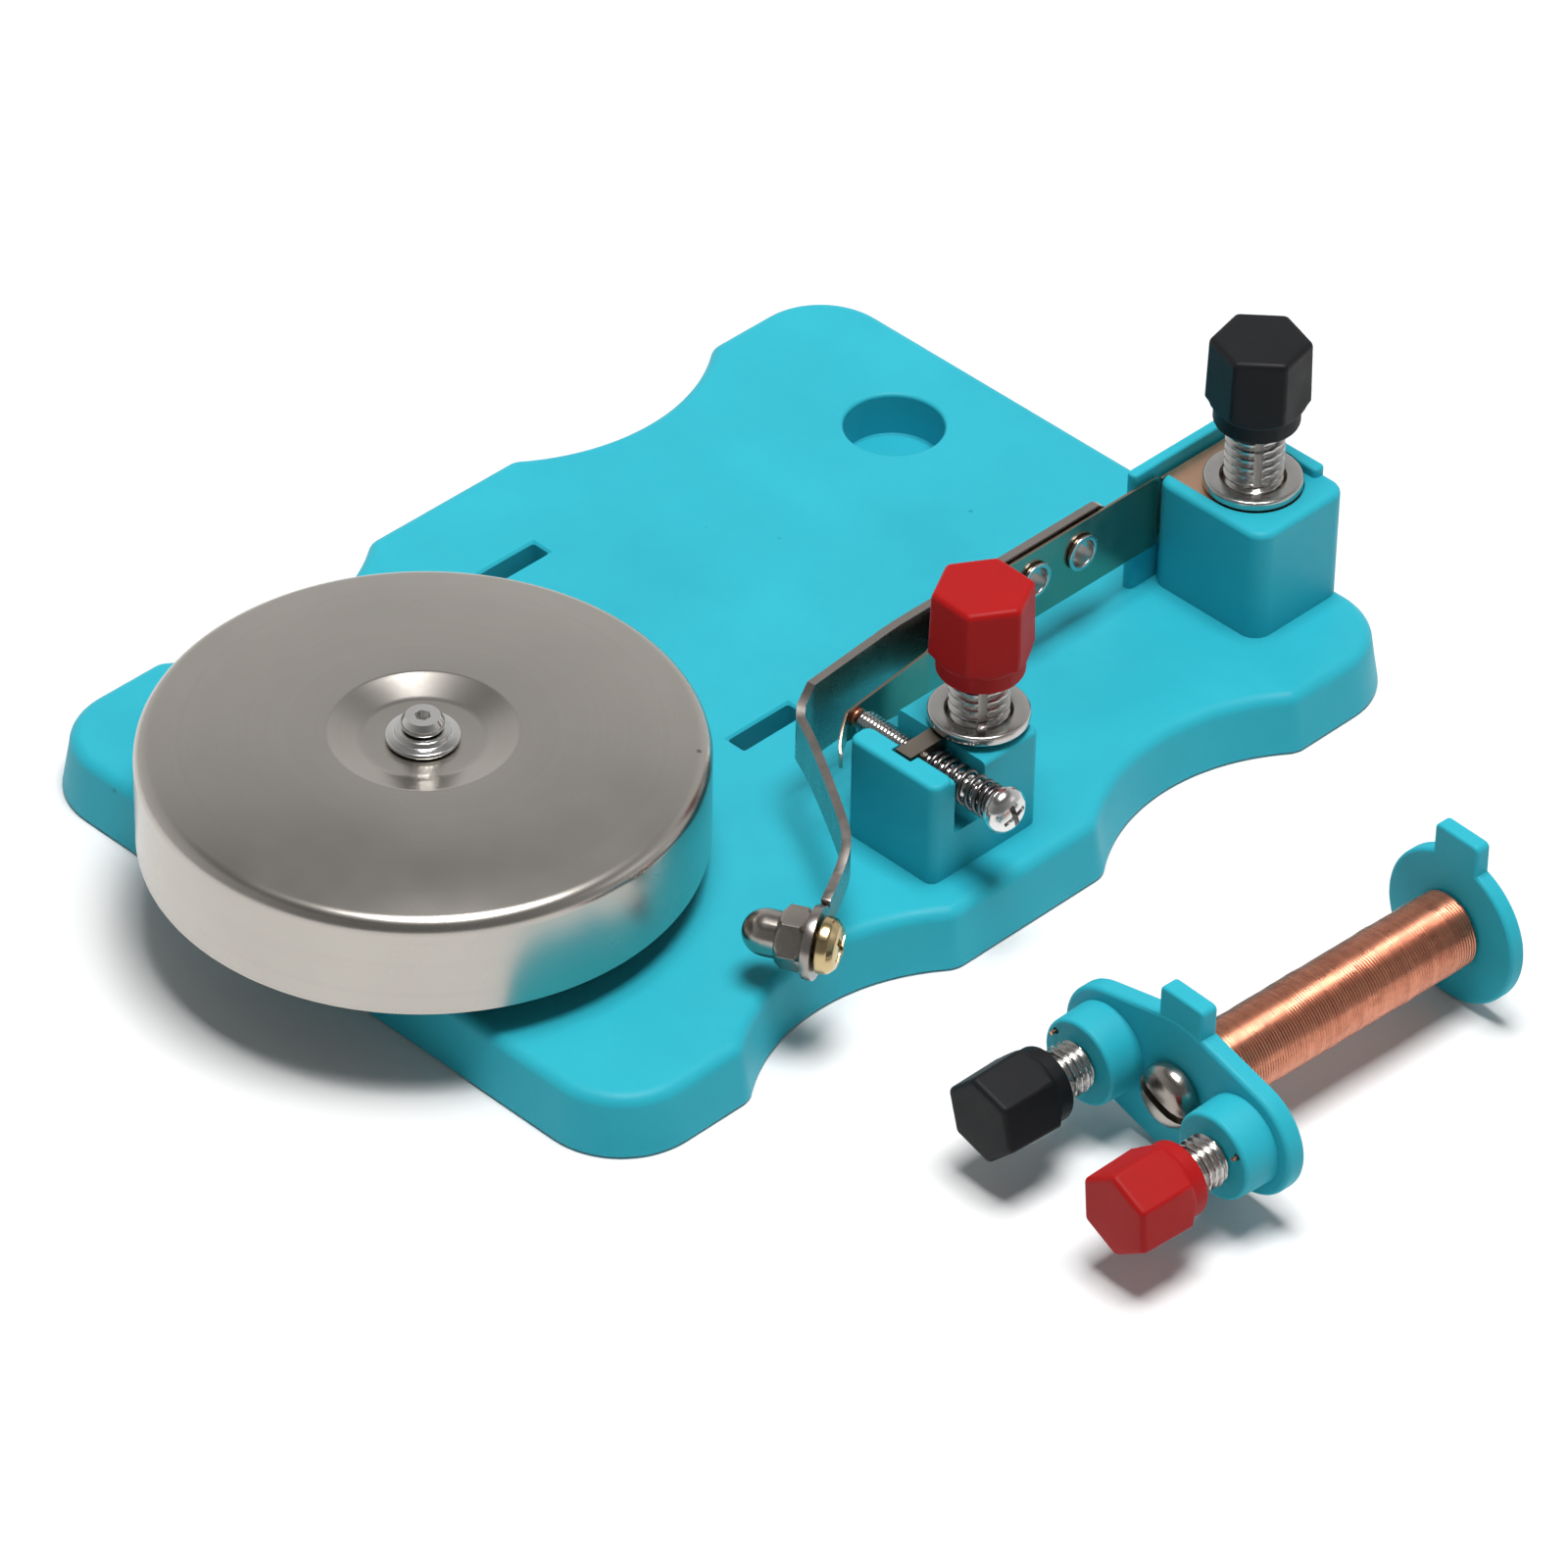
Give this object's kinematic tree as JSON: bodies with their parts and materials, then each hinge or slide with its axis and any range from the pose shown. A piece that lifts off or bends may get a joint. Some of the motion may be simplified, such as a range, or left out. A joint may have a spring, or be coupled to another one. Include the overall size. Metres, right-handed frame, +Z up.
{
  "type": "electric bell teaching kit",
  "caption": "Moulded base with a steel gong, sprung armature and hammer, contact screw and two binding posts, with a separate plug-in electromagnet lying in front.",
  "frame": {"origin": "centre of the base's underside", "axes": "+Z up from the table, +X along the base from the gong towards the rear post, +Y across the base away from the posts"},
  "size_m": [0.123, 0.1311, 0.0366],
  "materials": {
    "teal_plastic": "satin moulding",
    "black_plastic": "satin moulding",
    "red_plastic": "satin moulding",
    "gong_steel": "satin plated",
    "zinc_steel": "zinc plated",
    "bright_steel": "bright plated",
    "dark_nickel": "dark plated",
    "brass": "bright",
    "phosphor_bronze": "rolled strip",
    "enamelled_copper": "enamelled wire"
  },
  "bodies": {
    "base": {"base_plate": "teal_plastic", "gong": "gong_steel", "gong_washer": "bright_steel", "gong_screw": "bright_steel", "leaf_mount": "phosphor_bronze", "rear_post_stud": "zinc_steel", "rear_post_washer": "zinc_steel", "rear_post_nut": "zinc_steel", "front_post_stud": "zinc_steel", "front_post_washer": "zinc_steel", "front_post_nut": "zinc_steel", "contact_bracket": "zinc_steel", "contact_spring": "bright_steel"},
    "armature": {"spring_leaf": "phosphor_bronze", "armature_plate": "zinc_steel", "eyelet_near": "brass", "eyelet_far": "brass", "contact_button": "enamelled_copper", "hammer_screw": "brass", "hammer_nut": "bright_steel"},
    "contact_advance": {"contact_screw_washer": "bright_steel"},
    "contact_screw": {"contact_screw": "bright_steel"},
    "electromagnet": {"coil_bobbin": "teal_plastic", "coil_winding": "enamelled_copper", "core_bolt": "dark_nickel", "core_nut": "dark_nickel", "coil_post_black_stud": "zinc_steel", "coil_post_black_nut": "zinc_steel", "coil_post_red_stud": "zinc_steel", "coil_post_red_nut": "zinc_steel", "coil_lead_black": "enamelled_copper", "coil_lead_red": "enamelled_copper"},
    "rear_cap_insert_body": {"rear_cap_insert": "brass"},
    "rear_cap_body": {"rear_cap": "black_plastic"},
    "front_cap_insert_body": {"front_cap_insert": "brass"},
    "front_cap_body": {"front_cap": "red_plastic"},
    "coil_cap_black_insert_body": {"coil_cap_black_insert": "brass"},
    "coil_cap_black_body": {"coil_cap_black": "black_plastic"},
    "coil_cap_red_insert_body": {"coil_cap_red_insert": "brass"},
    "coil_cap_red_body": {"coil_cap_red": "red_plastic"}
  },
  "joints": [
    {"name": "armature_swing", "type": "hinge", "parent": "base", "child": "armature", "pos_m": [0.0419, -0.01815, 0.016], "axis": [0, 0, -1], "range_deg": [0, 5], "stiffness_Nm_per_rad": 0.05, "springref_deg": -1.72},
    {"name": "contact_screw_slide", "type": "slide", "parent": "base", "child": "contact_advance", "axis": [0, -1, 0], "range_m": [0, 0.0018], "deforming": ["contact_spring"]},
    {"name": "contact_screw_turn", "type": "hinge", "parent": "contact_advance", "child": "contact_screw", "pos_m": [-0.00387, -0.0409, 0.0159], "axis": [0, -1, 0], "range_deg": [0, 1440]},
    {"name": "electromagnet_lift", "type": "slide", "parent": "base", "child": "electromagnet", "axis": [0, 0, 1], "range_m": [0, 0.06]},
    {"name": "rear_cap_slide", "type": "slide", "parent": "base", "child": "rear_cap_insert_body", "axis": [0, 0, 1], "range_m": [-0.004, 0.001]},
    {"name": "rear_cap_turn", "type": "hinge", "parent": "rear_cap_insert_body", "child": "rear_cap_body", "pos_m": [0.0479, -0.0251, 0.0317], "axis": [0, 0, 1], "range_deg": [-1440, 360]},
    {"name": "front_cap_slide", "type": "slide", "parent": "base", "child": "front_cap_insert_body", "axis": [0, 0, 1], "range_m": [-0.002, 0.002]},
    {"name": "front_cap_turn", "type": "hinge", "parent": "front_cap_insert_body", "child": "front_cap_body", "pos_m": [0.0023, -0.0317, 0.029], "axis": [0, 0, 1], "range_deg": [-720, 720]},
    {"name": "coil_cap_black_slide", "type": "slide", "parent": "electromagnet", "child": "coil_cap_black_insert_body", "axis": [-0.999, 0.0436, 0], "range_m": [-0.0024, 0.0016]},
    {"name": "coil_cap_black_turn", "type": "hinge", "parent": "coil_cap_black_insert_body", "child": "coil_cap_black_body", "pos_m": [-0.01381, -0.06576, 0.0082], "axis": [-0.999, 0.0436, 0], "range_deg": [-1080, 720]},
    {"name": "coil_cap_red_slide", "type": "slide", "parent": "electromagnet", "child": "coil_cap_red_insert_body", "axis": [-0.999, 0.0436, 0], "range_m": [-0.0024, 0.0016]},
    {"name": "coil_cap_red_turn", "type": "hinge", "parent": "coil_cap_red_insert_body", "child": "coil_cap_red_body", "pos_m": [-0.01459, -0.08344, 0.0082], "axis": [-0.999, 0.0436, 0], "range_deg": [-1080, 720]}
  ],
  "couplings": [
    {"joint": "contact_screw_turn", "follows": "contact_screw_slide", "rad_per_m": 13963},
    {"joint": "rear_cap_turn", "follows": "rear_cap_slide", "rad_per_m": 6283.2},
    {"joint": "front_cap_turn", "follows": "front_cap_slide", "rad_per_m": 6283.2},
    {"joint": "coil_cap_black_turn", "follows": "coil_cap_black_slide", "rad_per_m": 7854},
    {"joint": "coil_cap_red_turn", "follows": "coil_cap_red_slide", "rad_per_m": 7854}
  ]
}
